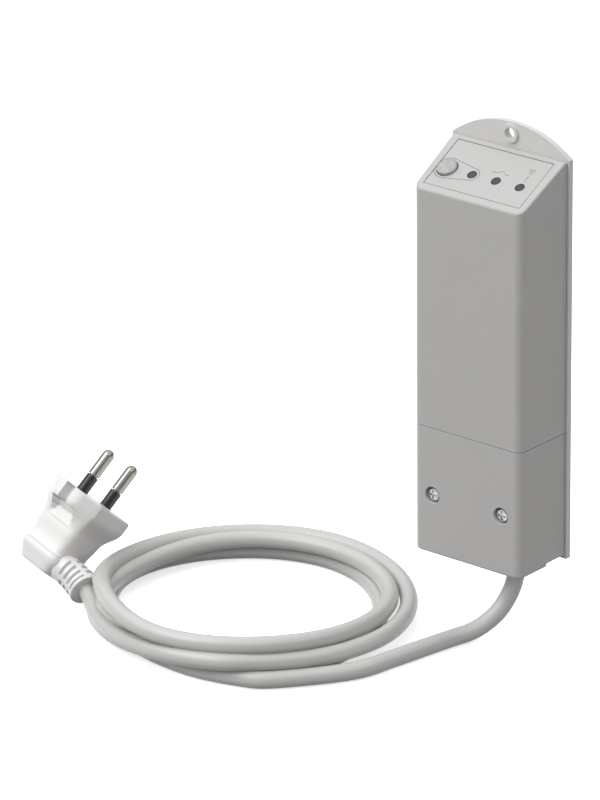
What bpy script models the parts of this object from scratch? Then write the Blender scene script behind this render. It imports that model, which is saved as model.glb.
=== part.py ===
"""Wall-mounted wireless heating controller with its mains lead and moulded angle plug.

Every size is in millimetres and is turned into metres when a mesh is made. The case is drawn
with its lowest edge at height 0, its back on the wall plane y = 0 and its front facing -Y.
One empty then lowers everything, so that the origin is the middle of the back face.
"""

import math

import bmesh
import bpy
from mathutils import Matrix, Vector

# ---------------------------------------------------------------- driving dimensions, mm
MM = 0.001
GAP = 0.3  # between neighbours that touch

FRONT_WIDTH = 50.0
SIDE_DRAFT = 1.0  # each side leans out this much towards the wall
DEPTH = 29.0
FRONT_HEIGHT = 145.5
SLOPE_RISE = 13.5  # from the front's upper edge to where the sloping panel meets the plate
SEAM_HEIGHT = 51.2
CORNER_RADIUS = 3.5
WALL = 2.0
ORIGIN_HEIGHT = 84.0

PLATE_THICKNESS = 2.4
PLATE_LEDGE = 0.8  # the plate stands out past each side of the covers
TAB_RISE = 9.5
HANG_RISE = 5.0  # from the shoulder to the hanging hole
HANG_HOLE_RADIUS = 2.2
HANG_RIM_RADIUS = 3.6
HANG_RIM_RISE = 0.8
LOWER_HOLE_HEIGHT = 28.0
RAIL_THICKNESS = 1.2  # the rails on the plate locate the covers' sides
RAIL_DEPTH = 5.2
RAIL_ENDS = (6.0, 12.0)  # above the case's lowest edge, and below the shoulder

TONGUE_LENGTH = 2.0
TONGUE_SHARE = 0.55  # of the wall, kept by the tongue's inner face
TONGUE_ROOT = 6.0

COVER_SCREW_INSET = 9.0
COVER_SCREW_HEIGHT = 24.0
COVER_SCREW_LENGTH = 13.0
SCREW_HEAD_RADIUS = 2.8
SCREW_HEAD_HEIGHT = 1.8
SCREW_SHANK_RADIUS = 1.5
SCREW_RECESS_RADIUS = 3.3
SCREW_RECESS_DEPTH = 2.6
SCREW_BOSS_RADIUS = 4.6
SCREW_BOSS_DEPTH = 5.0
PILLAR_WALL = 2.0  # around the screw's bore in the plate's pillar
BORE_SPARE = 1.5  # every blind bore is this much deeper than its screw

CORD_DIAMETER = 6.8
CORD_X = 13.5
CORD_Y = -15.0
JACKET_END = 18.6
SURFACE_DROP = 29.0  # from the case's lowest edge to what the lead lies on
BUSHING_WALL = 1.3
BUSHING_LIP = 1.4
CLAMP_LOW = 6.6
CLAMP_HIGH = 14.6
CLAMP_THICKNESS = 2.4
CLAMP_SCREW_LENGTH = 15.0
CLAMP_EDGE = 2.8  # from a clamp screw's axis to the end of the bar
SMALL_SCREW_RADIUS = 1.1
SMALL_HEAD_RADIUS = 2.2
SMALL_HEAD_HEIGHT = 1.5
WIRE_DIAMETER = 1.8
RELIEF_DEPTH = 13.0  # the shallow gap under the case's lower right edge, from the wall
RELIEF_RISE = 1.6

FOIL_INSET = 3.2
FOIL_DEPTH = 0.75
FOIL_THICKNESS = 0.35
PANEL_ROW = 12.4  # the row of button and indicators, up the slope from its lower edge
BUTTON_INSET = 7.7
BUTTON_RADIUS = 3.95
BUTTON_TRAVEL = 0.5
BUTTON_RISE = 1.6
BUTTON_STEM_RADIUS = 1.6
BUTTON_STEM_LENGTH = 1.3
INDICATOR_INSET = 9.1
INDICATOR_PITCH = 10.9
INDICATOR_RADIUS = 1.65
FLANGE = 0.8  # thickness of the rim that keeps the button and the windows in the cover
SWITCH_HEIGHT = 3.5
SWITCH_HALF = 3.0
SWITCH_BORE_DEPTH = 1.8
SWITCH_CLEARANCE = 1.3  # between the switch and the button's stem, bridged by the plunger
LED_RADIUS = 1.5
LED_RIM = 0.25

DISPLAY_THICKNESS = 1.2
DISPLAY_ROWS = (4.6, 21.4)
DISPLAY_SIDES = (3.0, 4.5)  # from the case's sides to the board's ends
DISPLAY_SCREW_ROW = 18.6
DISPLAY_SCREW_RADIUS = 0.9
DISPLAY_SCREW_LENGTH = 4.6
DISPLAY_HEAD_RADIUS = 1.9
DISPLAY_HEAD_HEIGHT = 1.2
DISPLAY_POST_RADIUS = 2.3

BOARD_MARGIN = 2.0
BOARD_LOW = 33.0
BOARD_TOP_GAP = 7.5
BOARD_THICKNESS = 1.6
BOARD_BACK = 8.0  # from the wall plane to the board
BOARD_SCREW_LENGTH = 5.6
STANDOFF_INSET = 3.5
STANDOFF_LOW = 58.0
STANDOFF_DROP = 7.0  # from the board's upper edge
STANDOFF_RADIUS = 3.0
SOCKET_DROP = 4.0
SOCKET_HEIGHT = 4.0
SOCKET_ENDS = (-7.0, 6.0)
SOCKET_DEPTH = 4.4
RIBBON_THICKNESS = 0.8
ANTENNA_DIAMETER = 1.0

TERMINAL_PITCH = 5.08
TERMINAL_LOW = 36.0
TERMINAL_HEIGHT = 9.0
TERMINAL_DEPTH = 10.5
TERMINAL_SCREW_RADIUS = 1.6
TERMINAL_SCREW_LENGTH = 3.6
TERMINAL_BORE_DEPTH = 4.6
TERMINAL_SCREW_SHARE = 0.55  # of the block's height
MAINS_TERMINAL_X = CORD_X - 2.5
RELAY_TERMINAL_X = 5.0 - CORD_X

PIN_SPACING = 19.0
PIN_LENGTH = 19.0
PIN_RADIUS = 2.4
PIN_ROOT = 8.4  # how deep each pin sits in the plug
SLEEVE_LENGTH = 7.0
SLEEVE_WALL = 0.5
SLEEVE_ROOT = 1.2  # how deep each sleeve sits in the plug's face
PLUG_RADIUS = 18.0
PLUG_HALF_FLAT = 13.0
PLUG_GROOVE_HALF = 2.7
PLUG_GROOVE_DEPTH = 2.6
PLUG_GROOVE_LENGTH = 12.0
PLUG_FACE = (-142.1, -76.6, 5.5)
PLUG_PIN_AXIS = (0.278, 0.621, 0.733)
PLUG_ROW_AXIS = (-0.066, 0.774, -0.630)
BOOT_START = (8.0, -2.0, -27.0)  # in the plug's own axes
BOOT_TILT = 13.0  # degrees from the flat's normal, away from the pins
BOOT_LENGTH = 14.0
BOOT_RADII = (5.4, 6.2)

COIL_CENTRE = (-73.5, -68.0)
COIL_OUTER = 62.6
COIL_INNER = 46.4
COIL_HEIGHT = 17.8
COIL_EDGE_RADIUS = 2.5

ROUND = 24  # sides of the small round pieces
SMOOTH_ANGLE = math.radians(35)
THROUGH = 1.0  # a cutter stands out this much past what it goes through

# ---------------------------------------------------------------- worked-out places
BACK_WIDTH = FRONT_WIDTH + 2 * SIDE_DRAFT
PLATE_WIDTH = BACK_WIDTH + 2 * PLATE_LEDGE
SHOULDER_HEIGHT = FRONT_HEIGHT + SLOPE_RISE
TAB_HEIGHT = SHOULDER_HEIGHT + TAB_RISE
HANG_HEIGHT = SHOULDER_HEIGHT + HANG_RISE
FRONT = -DEPTH
PLATE_FRONT = -PLATE_THICKNESS
SHELL_BACK = PLATE_FRONT - GAP
SLOPE = math.atan2(SLOPE_RISE, DEPTH - PLATE_THICKNESS)
SLOPE_LENGTH = math.hypot(SLOPE_RISE, DEPTH - PLATE_THICKNESS)
COVER_SCREW_X = FRONT_WIDTH / 2 - COVER_SCREW_INSET
COVER_SCREW_SEAT = DEPTH - SCREW_RECESS_DEPTH + GAP

CORD_RADIUS = CORD_DIAMETER / 2
ENTRY_RADIUS = CORD_RADIUS + BUSHING_WALL + 2 * GAP
CLAMP_BACK = CORD_Y + CORD_RADIUS + GAP
CLAMP_FRONT = CORD_Y - CORD_RADIUS - GAP
CLAMP_SCREW_X = CORD_RADIUS + SMALL_SCREW_RADIUS + 4 * GAP
CLAMP_HALF = CLAMP_SCREW_X + CLAMP_EDGE
CLAMP_SEAT = -CLAMP_FRONT + CLAMP_THICKNESS + GAP
CLAMP_MIDDLE = (CLAMP_LOW + CLAMP_HIGH) / 2

BOARD_HALF = FRONT_WIDTH / 2 - WALL - BOARD_MARGIN
BOARD_HIGH = FRONT_HEIGHT - BOARD_TOP_GAP
BOARD_FRONT = -BOARD_BACK - BOARD_THICKNESS
PARTS_BACK = BOARD_FRONT - GAP
STANDOFF_X = BOARD_HALF - STANDOFF_INSET
STANDOFF_HEIGHTS = (STANDOFF_LOW, BOARD_HIGH - STANDOFF_DROP)
TERMINAL_FRONT = TERMINAL_DEPTH - PARTS_BACK

BUTTON_X = BUTTON_INSET - FRONT_WIDTH / 2
INDICATOR_X = [FRONT_WIDTH / 2 - INDICATOR_INSET - INDICATOR_PITCH * place for place in (2, 1, 0)]
FLANGE_TOP = -WALL - GAP
WINDOW_FOOT = FLANGE_TOP - FLANGE
BUTTON_FOOT = WINDOW_FOOT - BUTTON_STEM_LENGTH
DISPLAY_TOP = BUTTON_FOOT - SWITCH_CLEARANCE - SWITCH_HEIGHT - GAP
DISPLAY_UNDER = DISPLAY_TOP - DISPLAY_THICKNESS
DISPLAY_SCREW_X = ((BUTTON_X + INDICATOR_X[0]) / 2, (INDICATOR_X[1] + INDICATOR_X[2]) / 2)

PIN_CORE = PIN_RADIUS - SLEEVE_WALL - GAP
LEAD_HEIGHT = CORD_RADIUS - SURFACE_DROP  # its centre, where it lies on the surface

# The lead from the clamp to the coil: down out of the case, then over the surface.
LEAD_ROUTE = (
    (CORD_X, CORD_Y, JACKET_END),
    (CORD_X, CORD_Y, 9.0),
    (CORD_X, CORD_Y, 0.0),
    (13.0, -16.2, -7.5),
    (12.0, -18.2, -12.8),
    (10.3, -21.8, -18.3),
    (7.8, -26.8, -22.4),
    (5.0, -32.6, -24.9),
    (2.0, -39.2, LEAD_HEIGHT),
    (-0.7, -50.6, LEAD_HEIGHT),
    (-4.6, -68.0, LEAD_HEIGHT),
    (-9.9, -86.0, LEAD_HEIGHT),
)


# ---------------------------------------------------------------- scene and materials
def clear_scene():
    for obj in list(bpy.data.objects):
        bpy.data.objects.remove(obj, do_unlink=True)


def material(name, colour, roughness=0.5, metallic=0.0):
    made = bpy.data.materials.new(name)
    made.use_nodes = True
    shader = made.node_tree.nodes["Principled BSDF"]
    shader.inputs["Base Color"].default_value = (*colour, 1.0)
    shader.inputs["Roughness"].default_value = roughness
    shader.inputs["Metallic"].default_value = metallic
    made.diffuse_color = (*colour, 1.0)
    return made


clear_scene()

CASE = material("grey_case_plastic", (0.42, 0.41, 0.39), 0.55)
PANEL = material("panel_foil_grey", (0.62, 0.61, 0.58), 0.4)
WHITE = material("white_pvc", (0.8, 0.8, 0.78), 0.4)
STEEL = material("plated_steel", (0.62, 0.62, 0.62), 0.25, 1.0)
BRASS = material("nickelled_brass", (0.72, 0.70, 0.66), 0.15, 1.0)
SILVER = material("silver_lacquered_plastic", (0.66, 0.65, 0.62), 0.3, 0.6)
SMOKED = material("smoked_window", (0.06, 0.06, 0.06), 0.2)
BLACK = material("black_plastic", (0.02, 0.02, 0.02), 0.45)
BOARD = material("board_laminate", (0.04, 0.16, 0.07), 0.5)
BLUE = material("blue_relay_plastic", (0.03, 0.12, 0.4), 0.4)
GREEN = material("green_terminal_plastic", (0.05, 0.3, 0.12), 0.5)
TRANSFORMER = material("transformer_resin", (0.03, 0.03, 0.035), 0.6)
LED = material("clear_lens", (0.75, 0.75, 0.72), 0.15)
COPPER = material("tinned_copper", (0.7, 0.55, 0.4), 0.35, 1.0)
BROWN = material("brown_insulation", (0.18, 0.07, 0.03), 0.45)
SKY = material("blue_insulation", (0.05, 0.16, 0.5), 0.45)

origin = bpy.data.objects.new("case_origin", None)
bpy.context.scene.collection.objects.link(origin)
origin.location = (0, 0, -ORIGIN_HEIGHT * MM)

panel = bpy.data.objects.new("panel_origin", None)
bpy.context.scene.collection.objects.link(panel)
panel.parent = origin
panel.location = (0, FRONT * MM, FRONT_HEIGHT * MM)
panel.rotation_euler = (SLOPE, 0, 0)

plug_axis = Vector(PLUG_PIN_AXIS).normalized()
plug_row = Vector(PLUG_ROW_AXIS)
plug_row = (plug_row - plug_axis * plug_row.dot(plug_axis)).normalized()
plug_side = plug_row.cross(plug_axis)
plug = bpy.data.objects.new("plug_origin", None)
bpy.context.scene.collection.objects.link(plug)
plug.parent = origin
plug.location = Vector(PLUG_FACE) * MM
plug.rotation_euler = Matrix((plug_side, plug_row, plug_axis)).transposed().to_euler()


# ---------------------------------------------------------------- shape helpers
def finish(name, bm, look, parent=origin, place=(0, 0, 0), turn=(0, 0, 0)):
    """Turns a bmesh in millimetres into an object placed under its parent."""
    bmesh.ops.recalc_face_normals(bm, faces=bm.faces)
    bmesh.ops.scale(bm, vec=(MM, MM, MM), verts=bm.verts)
    mesh = bpy.data.meshes.new(name)
    bm.to_mesh(mesh)
    bm.free()
    mesh.materials.append(look)
    mesh.shade_smooth()
    mesh.set_sharp_from_angle(angle=SMOOTH_ANGLE)
    obj = bpy.data.objects.new(name, mesh)
    bpy.context.scene.collection.objects.link(obj)
    obj.parent = parent
    obj.location = Vector(place) * MM
    obj.rotation_euler = turn
    return obj


def combine(obj, tool, operation):
    """Adds or cuts with a helper, which stays hidden."""
    tool.hide_render = True
    tool.display_type = "WIRE"
    step = obj.modifiers.new(f"{operation.lower()}_{tool.name}", "BOOLEAN")
    step.operation = operation
    step.object = tool
    step.solver = "EXACT"


def cut(obj, *tools):
    for tool in tools:
        combine(obj, tool, "DIFFERENCE")


def add(obj, *tools):
    for tool in tools:
        combine(obj, tool, "UNION")


def box(low, high):
    """A block between two corners."""
    bm = bmesh.new()
    bmesh.ops.create_cube(bm, size=1.0)
    size = [h - l for l, h in zip(low, high)]
    middle = [(h + l) / 2 for l, h in zip(low, high)]
    bmesh.ops.scale(bm, vec=size, verts=bm.verts)
    bmesh.ops.translate(bm, vec=middle, verts=bm.verts)
    return bm


def soft_box(low, high, radius, segments=2):
    """A block with all its edges rounded."""
    bm = box(low, high)
    bmesh.ops.bevel(bm, geom=bm.edges[:], offset=radius, segments=segments, affect="EDGES", profile=0.5)
    return bm


def turned(profile, sides=ROUND):
    """A solid of revolution about Z. The profile lists (radius, height) from the bottom up."""
    bm = bmesh.new()
    rings = []
    for radius, height in profile:
        if radius <= 0:
            rings.append([bm.verts.new((0, 0, height))])
            continue
        ring = []
        for step in range(sides):
            angle = math.tau * step / sides
            ring.append(bm.verts.new((radius * math.cos(angle), radius * math.sin(angle), height)))
        rings.append(ring)
    for low, high in zip(rings, rings[1:]):
        for step in range(sides):
            after = (step + 1) % sides
            if len(low) == 1:
                bm.faces.new((low[0], high[after], high[step]))
            elif len(high) == 1:
                bm.faces.new((low[step], low[after], high[0]))
            else:
                bm.faces.new((low[step], low[after], high[after], high[step]))
    for ring in (rings[0], rings[-1]):
        if len(ring) > 1:
            bm.faces.new(ring)
    return bm


def ring_solid(profile, sides):
    """A closed ring about Z, from a closed profile of (radius, height)."""
    bm = bmesh.new()
    rings = []
    for step in range(sides):
        angle = math.tau * step / sides
        rings.append([bm.verts.new((r * math.cos(angle), r * math.sin(angle), h)) for r, h in profile])
    count = len(profile)
    for step, ring in enumerate(rings):
        after = rings[(step + 1) % sides]
        for i in range(count):
            j = (i + 1) % count
            bm.faces.new((ring[i], ring[j], after[j], after[i]))
    return bm


def prism(outline, low, high):
    """An outline of (x, y) pulled up from one height to another."""
    bm = bmesh.new()
    floor = [bm.verts.new((x, y, low)) for x, y in outline]
    roof = [bm.verts.new((x, y, high)) for x, y in outline]
    count = len(outline)
    for i in range(count):
        j = (i + 1) % count
        bm.faces.new((floor[i], floor[j], roof[j], roof[i]))
    bm.faces.new(floor)
    bm.faces.new(roof)
    return bm


def loft(sections):
    """A closed solid through sections, each a list of as many points."""
    bm = bmesh.new()
    rings = [[bm.verts.new(point) for point in section] for section in sections]
    count = len(rings[0])
    for low, high in zip(rings, rings[1:]):
        for i in range(count):
            j = (i + 1) % count
            bm.faces.new((low[i], low[j], high[j], high[i]))
    bm.faces.new(rings[0])
    bm.faces.new(rings[-1])
    return bm


def quarter_dome(radius, low, rise, steps=4):
    """Profile points from the edge of a dome to its crown."""
    points = [(radius, low)]
    for step in range(1, steps):
        angle = math.pi / 2 * step / steps
        points.append((radius * math.cos(angle), low + rise * math.sin(angle)))
    return points + [(0.0, low + rise)]


def rod(radius, low, high, sides=ROUND):
    return turned([(radius, low), (radius, high)], sides)


def facing_front(x, height, y=0.0):
    """Place and turn of a turned piece whose own +Z points out of the front, towards -Y."""
    return {"place": (x, y, height), "turn": (math.pi / 2, 0, 0)}


def smooth_route(points, spacing):
    """Evenly spaced points along a smooth curve through the given ones."""
    points = [Vector(p) for p in points]
    fine = []
    for i in range(len(points) - 1):
        before = points[max(i - 1, 0)]
        a, b = points[i], points[i + 1]
        after = points[min(i + 2, len(points) - 1)]
        for step in range(12):
            t = step / 12
            fine.append(
                0.5
                * (
                    2 * a
                    + (b - before) * t
                    + (2 * before - 5 * a + 4 * b - after) * t**2
                    + (3 * a - before - 3 * b + after) * t**3
                )
            )
    fine.append(points[-1])
    total = sum((q - p).length for p, q in zip(fine, fine[1:]))
    count = max(2, round(total / spacing))
    wanted = [total * i / count for i in range(count + 1)]
    found, run, k = [fine[0]], 0.0, 0
    for target in wanted[1:-1]:
        while run + (fine[k + 1] - fine[k]).length < target:
            run += (fine[k + 1] - fine[k]).length
            k += 1
        found.append(fine[k].lerp(fine[k + 1], (target - run) / (fine[k + 1] - fine[k]).length))
    return found + [fine[-1]]


def tube(name, points, diameter, look, bevel_resolution=2, parent=origin):
    curve = bpy.data.curves.new(name, "CURVE")
    curve.dimensions = "3D"
    curve.bevel_depth = diameter / 2 * MM
    curve.bevel_resolution = bevel_resolution
    curve.use_fill_caps = True
    spline = curve.splines.new("POLY")
    spline.points.add(len(points) - 1)
    for slot, point in zip(spline.points, points):
        slot.co = (*(Vector(point) * MM), 1)
    curve.materials.append(look)
    obj = bpy.data.objects.new(name, curve)
    bpy.context.scene.collection.objects.link(obj)
    obj.parent = parent
    return obj


def helper(name, bm, **where):
    return finish(name, bm, CASE, **where)


# ---------------------------------------------------------------- the case's outline
def plan(inset=0.0, back=SHELL_BACK):
    """The case seen from above: drafted sides and two rounded front corners."""
    half_front = FRONT_WIDTH / 2 - inset
    half_back = BACK_WIDTH / 2 - inset
    radius = max(CORNER_RADIUS - inset, 0.5)
    outline = [(half_back, back)]
    for step in range(7):
        angle = -math.pi / 2 * step / 6
        outline.append(
            (
                half_front - radius + radius * math.cos(angle),
                FRONT + inset + radius + radius * math.sin(angle),
            )
        )
    return outline + [(-x, y) for x, y in reversed(outline)]


def under_slope(bm, drop=0.0):
    """Cuts a prism off along the sloping panel's plane, lowered by drop."""
    normal = Vector((0, -math.sin(SLOPE), math.cos(SLOPE)))
    point = Vector((0, FRONT, FRONT_HEIGHT)) - normal * drop
    whole = bm.verts[:] + bm.edges[:] + bm.faces[:]
    made = bmesh.ops.bisect_plane(bm, geom=whole, plane_co=point, plane_no=normal, clear_outer=True)
    edges = [e for e in made["geom_cut"] if isinstance(e, bmesh.types.BMEdge)]
    bmesh.ops.contextual_create(bm, geom=edges)
    return bm


# ---------------------------------------------------------------- back plate
def make_back_plate():
    half = PLATE_WIDTH / 2
    rise = TAB_HEIGHT - SHOULDER_HEIGHT
    radius = (half**2 + rise**2) / (2 * rise)
    reach = math.asin(half / radius)
    centre = TAB_HEIGHT - radius
    outline = [(-half, 0.0), (half, 0.0)]
    for step in range(17):
        angle = reach - 2 * reach * step / 16
        outline.append((radius * math.sin(angle), centre + radius * math.cos(angle)))
    # The outline lies in x and height, so the prism is turned up about X.
    slab = prism(outline, 0.0, PLATE_THICKNESS)
    bmesh.ops.rotate(slab, cent=(0, 0, 0), matrix=Matrix.Rotation(math.pi / 2, 3, "X"), verts=slab.verts)
    plate = finish("back_plate", slab, CASE)

    middle = PLATE_THICKNESS / 2  # everything on the plate is rooted in its middle
    rim = rod(HANG_RIM_RADIUS, middle, PLATE_THICKNESS + HANG_RIM_RISE)
    add(plate, helper("rim_tool", rim, **facing_front(0, HANG_HEIGHT)))
    for side in (-1, 1):
        pillar = rod(SCREW_SHANK_RADIUS + GAP + PILLAR_WALL, middle, DEPTH - SCREW_BOSS_DEPTH - GAP)
        place = facing_front(side * COVER_SCREW_X, COVER_SCREW_HEIGHT)
        add(plate, helper(f"pillar_tool_{side}", pillar, **place))
        bore = rod(SCREW_SHANK_RADIUS + GAP, COVER_SCREW_SEAT - COVER_SCREW_LENGTH - BORE_SPARE, DEPTH, 16)
        cut(plate, helper(f"pillar_bore_tool_{side}", bore, **place))
        rail_outer = BACK_WIDTH / 2 - WALL - GAP
        low, high = sorted((side * rail_outer, side * (rail_outer - RAIL_THICKNESS)))
        rail_low, rail_high = RAIL_ENDS[0], SHOULDER_HEIGHT - RAIL_ENDS[1]
        rail = box((low, -RAIL_DEPTH, rail_low), (high, -middle, rail_high))
        add(plate, helper(f"rail_tool_{side}", rail))
        for row, height in enumerate(STANDOFF_HEIGHTS):
            place = facing_front(side * STANDOFF_X, height)
            post = rod(STANDOFF_RADIUS, middle, BOARD_BACK - GAP, 16)
            add(plate, helper(f"standoff_tool_{side}_{row}", post, **place))
            bore = rod(SMALL_SCREW_RADIUS + GAP, -PARTS_BACK - BOARD_SCREW_LENGTH - BORE_SPARE / 2, DEPTH, 12)
            cut(plate, helper(f"standoff_bore_tool_{side}_{row}", bore, **place))
    saddle = box(
        (CORD_X - CLAMP_HALF, CLAMP_BACK, CLAMP_LOW),
        (CORD_X + CLAMP_HALF, -middle, CLAMP_HIGH),
    )
    add(plate, helper("saddle_tool", saddle))
    for side in (-1, 1):
        bore = rod(SMALL_SCREW_RADIUS + GAP, CLAMP_SEAT - CLAMP_SCREW_LENGTH - BORE_SPARE, DEPTH, 12)
        place = facing_front(CORD_X + side * CLAMP_SCREW_X, CLAMP_MIDDLE)
        cut(plate, helper(f"clamp_bore_tool_{side}", bore, **place))
    for name, height in (("hang_hole_tool", HANG_HEIGHT), ("lower_hole_tool", LOWER_HOLE_HEIGHT)):
        hole = rod(HANG_HOLE_RADIUS, -THROUGH, PLATE_THICKNESS + HANG_RIM_RISE + THROUGH)
        cut(plate, helper(name, hole, **facing_front(0, height)))


# ---------------------------------------------------------------- covers
def make_front_cover():
    shell_bottom = SEAM_HEIGHT + GAP / 2
    cover = finish("front_cover", under_slope(prism(plan(), shell_bottom, TAB_HEIGHT)), CASE)
    tongue = prism(plan(WALL * TONGUE_SHARE), SEAM_HEIGHT - TONGUE_LENGTH, SEAM_HEIGHT + TONGUE_ROOT)
    add(cover, helper("tongue_tool", tongue))
    below = SEAM_HEIGHT - TONGUE_LENGTH - THROUGH
    inside = under_slope(prism(plan(WALL, back=THROUGH), below, TAB_HEIGHT), WALL)
    cut(cover, helper("cover_inside_tool", inside))
    foil_bed = box(
        (-FRONT_WIDTH / 2 + FOIL_INSET - GAP, FOIL_INSET - GAP, -FOIL_DEPTH),
        (FRONT_WIDTH / 2 - FOIL_INSET + GAP, SLOPE_LENGTH - FOIL_INSET + GAP, THROUGH),
    )
    cut(cover, helper("foil_bed_tool", foil_bed, parent=panel))
    for index, (x, radius) in enumerate(panel_holes()):
        hole = rod(radius, -WALL - THROUGH, THROUGH)
        cut(cover, helper(f"panel_hole_tool_{index}", hole, parent=panel, place=(x, PANEL_ROW, 0)))
    for index, x in enumerate(DISPLAY_SCREW_X):
        place = (x, DISPLAY_SCREW_ROW, 0)
        post = rod(DISPLAY_POST_RADIUS, DISPLAY_TOP + GAP, -(WALL + FOIL_DEPTH) / 2, 16)
        add(cover, helper(f"display_post_tool_{index}", post, parent=panel, place=place))
        tip = DISPLAY_UNDER - GAP + DISPLAY_SCREW_LENGTH
        bore = rod(DISPLAY_SCREW_RADIUS + GAP, DISPLAY_TOP - THROUGH, tip + BORE_SPARE, 12)
        cut(cover, helper(f"display_bore_tool_{index}", bore, parent=panel, place=place))


def panel_holes():
    """(x, radius) of each hole through the sloping panel."""
    windows = [(x, INDICATOR_RADIUS + GAP) for x in INDICATOR_X]
    return [(BUTTON_X, BUTTON_RADIUS + GAP)] + windows


def make_terminal_cover():
    cover = finish("terminal_cover", prism(plan(), 0.0, SEAM_HEIGHT - GAP / 2), CASE)
    above = SEAM_HEIGHT + THROUGH
    cut(cover, helper("terminal_inside_tool", prism(plan(WALL, back=THROUGH), WALL, above)))
    groove = plan(WALL * TONGUE_SHARE - GAP, back=THROUGH)
    cut(cover, helper("rebate_tool", prism(groove, SEAM_HEIGHT - TONGUE_LENGTH - GAP, above + THROUGH)))
    for side in (-1, 1):
        place = facing_front(side * COVER_SCREW_X, COVER_SCREW_HEIGHT)
        boss = rod(SCREW_BOSS_RADIUS, DEPTH - SCREW_BOSS_DEPTH, DEPTH - WALL / 2)
        add(cover, helper(f"cover_boss_tool_{side}", boss, **place))
        recess = rod(SCREW_RECESS_RADIUS, DEPTH - SCREW_RECESS_DEPTH, DEPTH + THROUGH)
        cut(cover, helper(f"recess_tool_{side}", recess, **place))
        hole = rod(SCREW_SHANK_RADIUS + GAP, DEPTH - SCREW_BOSS_DEPTH - THROUGH, DEPTH + THROUGH, 16)
        cut(cover, helper(f"cover_hole_tool_{side}", hole, **place))
    entry = [(CORD_X - ENTRY_RADIUS, THROUGH)]
    for step in range(13):
        angle = math.pi + math.pi * step / 12
        entry.append((CORD_X + ENTRY_RADIUS * math.cos(angle), CORD_Y + ENTRY_RADIUS * math.sin(angle)))
    entry.append((CORD_X + ENTRY_RADIUS, THROUGH))
    cut(cover, helper("entry_tool", prism(entry, -THROUGH, WALL + THROUGH)))
    blank = rod(ENTRY_RADIUS, -THROUGH, WALL + THROUGH)
    cut(cover, helper("blank_hole_tool", blank, place=(-CORD_X, CORD_Y, 0)))
    relief = box(
        (BACK_WIDTH / 2 - WALL - BORE_SPARE, -RELIEF_DEPTH, -THROUGH),
        (BACK_WIDTH / 2 + THROUGH, THROUGH, RELIEF_RISE),
    )
    cut(cover, helper("side_relief_tool", relief))


def cross_screw(name, radius, head_height, shank, length, parent=origin, **where):
    """A pan-head screw about its own +Z: head above 0, shank below it, cross slot in the head."""
    profile = [
        (shank, -length),
        (shank, 0.0),
        (radius, 0.0),
        (radius, head_height * 0.45),
        (radius * 0.8, head_height * 0.85),
        (radius * 0.4, head_height),
    ]
    screw = finish(name, turned(profile), STEEL, parent=parent, **where)
    reach, across = radius * 0.68, radius * 0.16
    for turn, (x, y) in enumerate(((reach, across), (across, reach))):
        slot = box((-x, -y, head_height / 2), (x, y, head_height + THROUGH))
        cut(screw, helper(f"{name}_slot_tool_{turn}", slot, parent=parent, **where))


def make_cover_screws():
    head = (SCREW_HEAD_RADIUS, SCREW_HEAD_HEIGHT, SCREW_SHANK_RADIUS, COVER_SCREW_LENGTH)
    for name, side in (("cover_screw_left", -1), ("cover_screw_right", 1)):
        cross_screw(name, *head, **facing_front(side * COVER_SCREW_X, COVER_SCREW_HEIGHT, -COVER_SCREW_SEAT))


# ---------------------------------------------------------------- panel: foil, button, windows
def make_panel():
    top = -FOIL_DEPTH + GAP + FOIL_THICKNESS
    foil_bm = box(
        (-FRONT_WIDTH / 2 + FOIL_INSET, FOIL_INSET, -FOIL_DEPTH + GAP),
        (FRONT_WIDTH / 2 - FOIL_INSET, SLOPE_LENGTH - FOIL_INSET, top),
    )
    foil = finish("panel_foil", foil_bm, PANEL, parent=panel)
    for index, (x, radius) in enumerate(panel_holes()):
        hole = rod(radius, -FOIL_DEPTH - THROUGH, THROUGH)
        cut(foil, helper(f"foil_hole_tool_{index}", hole, parent=panel, place=(x, PANEL_ROW, 0)))

    rim = BUTTON_RADIUS + FLANGE
    skirt = BUTTON_RISE * 0.45  # the straight side of the cap, before its dome
    cap = [(BUTTON_STEM_RADIUS, BUTTON_FOOT), (BUTTON_STEM_RADIUS, WINDOW_FOOT)]
    cap += [(rim, WINDOW_FOOT), (rim, FLANGE_TOP), (BUTTON_RADIUS, FLANGE_TOP)]
    cap += quarter_dome(BUTTON_RADIUS, skirt, BUTTON_RISE - skirt)
    finish("push_button", turned(cap, 32), SILVER, parent=panel, place=(BUTTON_X, PANEL_ROW, 0))

    for index, x in enumerate(INDICATOR_X, 1):
        rim = INDICATOR_RADIUS + FLANGE
        lens = [(rim, WINDOW_FOOT), (rim, FLANGE_TOP), (INDICATOR_RADIUS, FLANGE_TOP)]
        lens.append((INDICATOR_RADIUS, -GAP / 2))
        finish(f"led_window_{index}", turned(lens, 20), SMOKED, parent=panel, place=(x, PANEL_ROW, 0))


# ---------------------------------------------------------------- display board behind the panel
def display_underside(y):
    """Height of the display board's under face, that far in front of the wall."""
    row = (y - FRONT + DISPLAY_UNDER * math.sin(SLOPE)) / math.cos(SLOPE)
    return FRONT_HEIGHT + row * math.sin(SLOPE) + DISPLAY_UNDER * math.cos(SLOPE)


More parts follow.
